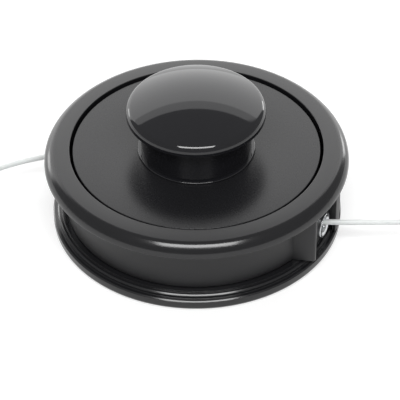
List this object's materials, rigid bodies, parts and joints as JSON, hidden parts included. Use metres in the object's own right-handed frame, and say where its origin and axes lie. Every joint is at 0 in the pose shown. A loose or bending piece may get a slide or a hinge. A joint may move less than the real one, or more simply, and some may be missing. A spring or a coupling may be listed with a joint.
{
  "type": "bump-feed trimmer head",
  "caption": "Round black bump-feed trimmer head: drum with side eyelets, drop-in spool, mushroom bump knob, spring and stiff line tails.",
  "frame": {"origin": "bottom centre of the base flange, on the head's axis", "axes": "+Z along the head's axis from the gearbox side to the bump knob; +X to the right of the picture"},
  "size_m": [0.2447, 0.13, 0.0654],
  "materials": {
    "satin_nylon": "satin moulded",
    "disc_nylon": "satin moulded",
    "gloss_nylon": "polished moulded",
    "zinc_steel": "zinc plated",
    "spring_steel": "oiled wire",
    "eyelet_steel": "bright plated",
    "brass": "turned",
    "slip_nylon": "natural nylon",
    "line_nylon": "drawn translucent white"
  },
  "bodies": {
    "housing": {"base_housing": "satin_nylon", "drum_cover": "satin_nylon", "drum_screws": "zinc_steel", "arbor_nut": "zinc_steel", "bolt_insert": "brass", "knob_bolt": "zinc_steel", "spring": "spring_steel", "spring_seat_washer": "zinc_steel", "eyelet_right": "eyelet_steel", "eyelet_left": "eyelet_steel", "line_tail_right": "line_nylon", "line_tail_left": "line_nylon"},
    "knob": {"bump_knob": "gloss_nylon", "stop_washer": "zinc_steel", "knob_circlip": "spring_steel"},
    "spool": {"spool": "disc_nylon", "line_winding_lower": "line_nylon", "line_winding_upper": "line_nylon", "knob_washer": "slip_nylon", "spring_thrust_washer": "zinc_steel"}
  },
  "joints": [
    {"name": "knob_press", "type": "slide", "parent": "housing", "child": "knob", "axis": [0, 0, -1], "range_m": [0, 0.005], "stiffness_N_per_m": 2500, "springref_m": -0.008, "deforming": ["spring"]},
    {"name": "spool_feed", "type": "hinge", "parent": "knob", "child": "spool", "pos_m": [0, 0, 0.0364], "axis": [0, 0, 1], "continuous": true}
  ]
}
